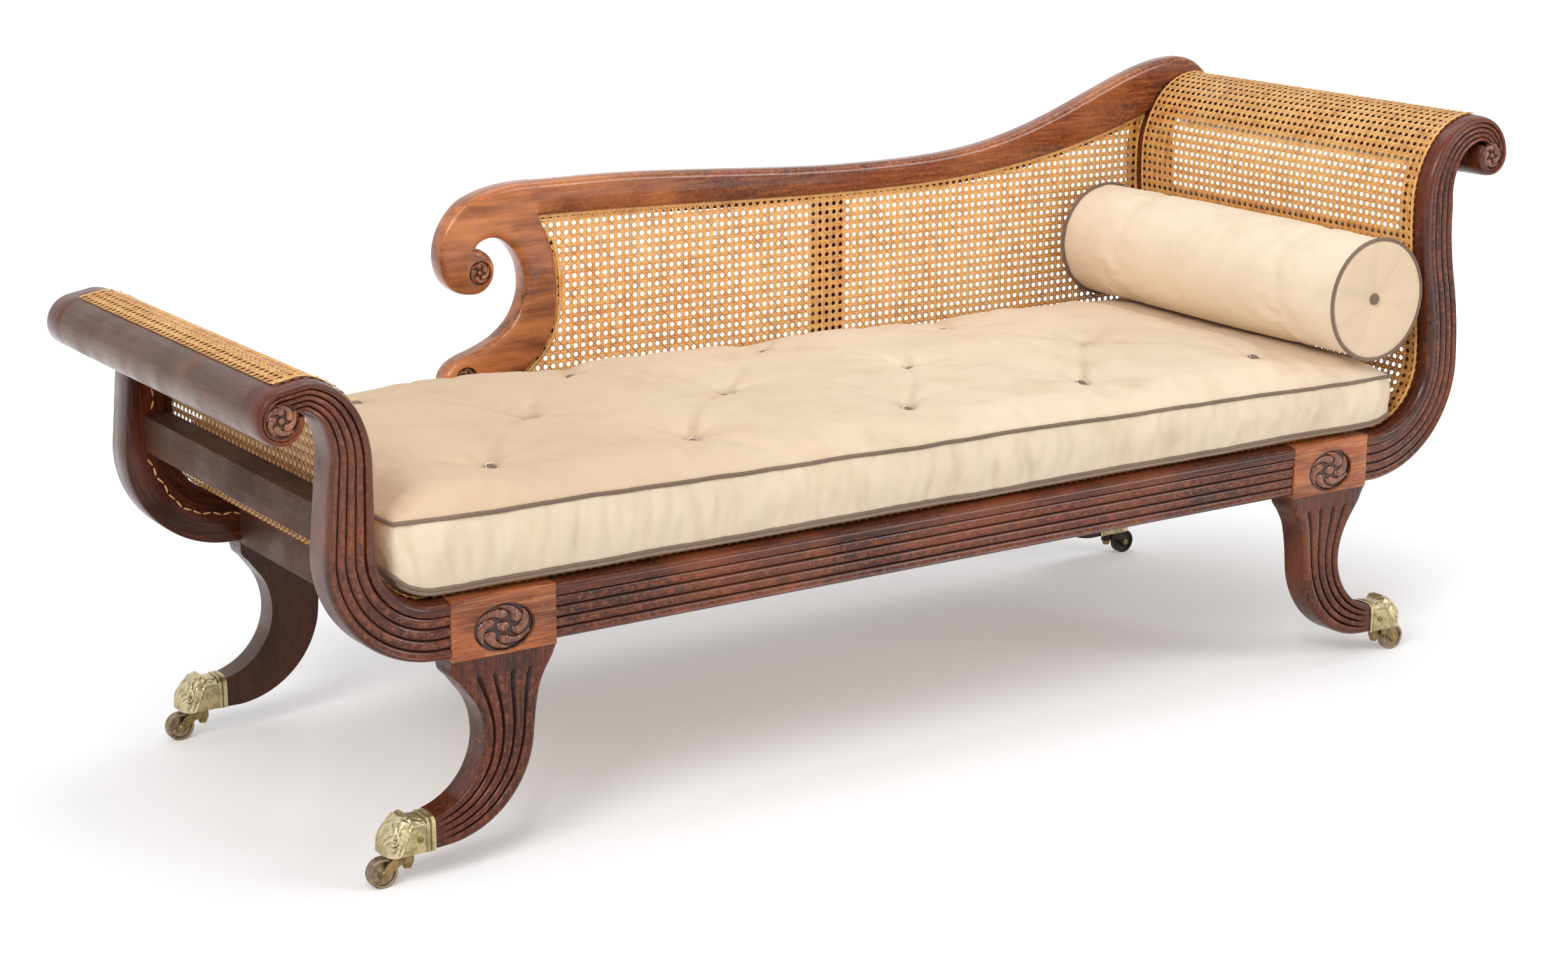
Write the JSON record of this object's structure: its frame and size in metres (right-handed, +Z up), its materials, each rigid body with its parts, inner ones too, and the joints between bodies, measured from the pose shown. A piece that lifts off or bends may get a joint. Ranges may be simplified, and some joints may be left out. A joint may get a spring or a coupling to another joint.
{
  "type": "recamier",
  "caption": "Cane-panelled recamier with reeded scroll ends, a sweeping crest rail, sabre legs in brass sabots on swivel castors, a tufted seat cushion and a bolster.",
  "frame": {"origin": "on the floor under the middle of the bounding box", "axes": "+X from the low foot end to the high head end, +Y from the front to the back, +Z up"},
  "size_m": [1.9224, 0.645, 0.7979],
  "materials": {
    "mahogany": "waxed, worn",
    "inner_wood": "dull, oiled",
    "cane": "natural cane, satin",
    "sabot_brass": "cast, aged",
    "castor_metal": "worn, brown",
    "wheel_brass": "worn, coppery",
    "cream_suede": "napped suede cloth",
    "taupe_trim": "napped piping cloth"
  },
  "bodies": {
    "frame": {"front_rail": "mahogany", "rear_rail": "inner_wood", "foot_end_rail": "inner_wood", "head_end_rail": "inner_wood", "seat_battens": "inner_wood", "foot_scroll_front": "mahogany", "foot_scroll_rear": "mahogany", "head_scroll_front": "mahogany", "head_scroll_rear": "mahogany", "foot_upper_rail": "inner_wood", "head_upper_rail": "inner_wood", "foot_roll_board": "mahogany", "head_roll_board": "mahogany", "block_foot_front": "mahogany", "block_foot_rear": "mahogany", "block_head_front": "mahogany", "block_head_rear": "mahogany", "leg_foot_front": "mahogany", "leg_foot_rear": "mahogany", "leg_head_front": "mahogany", "leg_head_rear": "mahogany", "crest_rail": "mahogany", "back_scroll": "mahogany", "back_bottom_rail": "inner_wood", "back_batten": "inner_wood", "cane_seat": "cane", "cane_foot_end": "cane", "cane_head_end": "cane", "cane_back": "cane", "block_rosettes": "mahogany", "scroll_rosettes": "mahogany", "back_rosettes": "mahogany", "sabot_foot_front": "sabot_brass", "sabot_foot_rear": "sabot_brass", "sabot_head_front": "sabot_brass", "sabot_head_rear": "sabot_brass", "sabot_screws": "castor_metal", "swivel_pins": "castor_metal"},
    "fork_foot_front": {"horn_foot_front": "castor_metal", "axle_foot_front": "castor_metal"},
    "roller_foot_front": {"wheel_foot_front": "wheel_brass"},
    "fork_foot_rear": {"horn_foot_rear": "castor_metal", "axle_foot_rear": "castor_metal"},
    "roller_foot_rear": {"wheel_foot_rear": "wheel_brass"},
    "fork_head_front": {"horn_head_front": "castor_metal", "axle_head_front": "castor_metal"},
    "roller_head_front": {"wheel_head_front": "wheel_brass"},
    "fork_head_rear": {"horn_head_rear": "castor_metal", "axle_head_rear": "castor_metal"},
    "roller_head_rear": {"wheel_head_rear": "wheel_brass"},
    "cushion": {"seat_cushion": "cream_suede", "cushion_piping": "taupe_trim", "cushion_buttons": "taupe_trim"},
    "bolster": {"bolster": "cream_suede", "bolster_piping": "taupe_trim", "bolster_buttons": "taupe_trim"}
  },
  "joints": [
    {"name": "castor_swivel_foot_front", "type": "hinge", "parent": "frame", "child": "fork_foot_front", "pos_m": [-0.78941, -0.3015, 0.03], "axis": [0, 0, 1], "continuous": true},
    {"name": "wheel_spin_foot_front", "type": "hinge", "parent": "fork_foot_front", "child": "roller_foot_front", "pos_m": [-0.82241, -0.3015, 0.0185], "axis": [0, 1, 0], "continuous": true},
    {"name": "castor_swivel_foot_rear", "type": "hinge", "parent": "frame", "child": "fork_foot_rear", "pos_m": [-0.78941, 0.3015, 0.03], "axis": [0, 0, 1], "continuous": true},
    {"name": "wheel_spin_foot_rear", "type": "hinge", "parent": "fork_foot_rear", "child": "roller_foot_rear", "pos_m": [-0.82241, 0.3015, 0.0185], "axis": [0, 1, 0], "continuous": true},
    {"name": "castor_swivel_head_front", "type": "hinge", "parent": "frame", "child": "fork_head_front", "pos_m": [0.76859, -0.3015, 0.03], "axis": [0, 0, 1], "continuous": true},
    {"name": "wheel_spin_head_front", "type": "hinge", "parent": "fork_head_front", "child": "roller_head_front", "pos_m": [0.80159, -0.3015, 0.0185], "axis": [0, 1, 0], "continuous": true},
    {"name": "castor_swivel_head_rear", "type": "hinge", "parent": "frame", "child": "fork_head_rear", "pos_m": [0.76859, 0.3015, 0.03], "axis": [0, 0, 1], "continuous": true},
    {"name": "wheel_spin_head_rear", "type": "hinge", "parent": "fork_head_rear", "child": "roller_head_rear", "pos_m": [0.80159, 0.3015, 0.0185], "axis": [0, 1, 0], "continuous": true},
    {"name": "cushion_slide", "type": "slide", "parent": "frame", "child": "cushion", "axis": [0, -1, 0], "range_m": [0, 0.7]},
    {"name": "bolster_lift", "type": "slide", "parent": "cushion", "child": "bolster", "axis": [-0.3, 0, 0.9539], "range_m": [0, 0.25]}
  ]
}
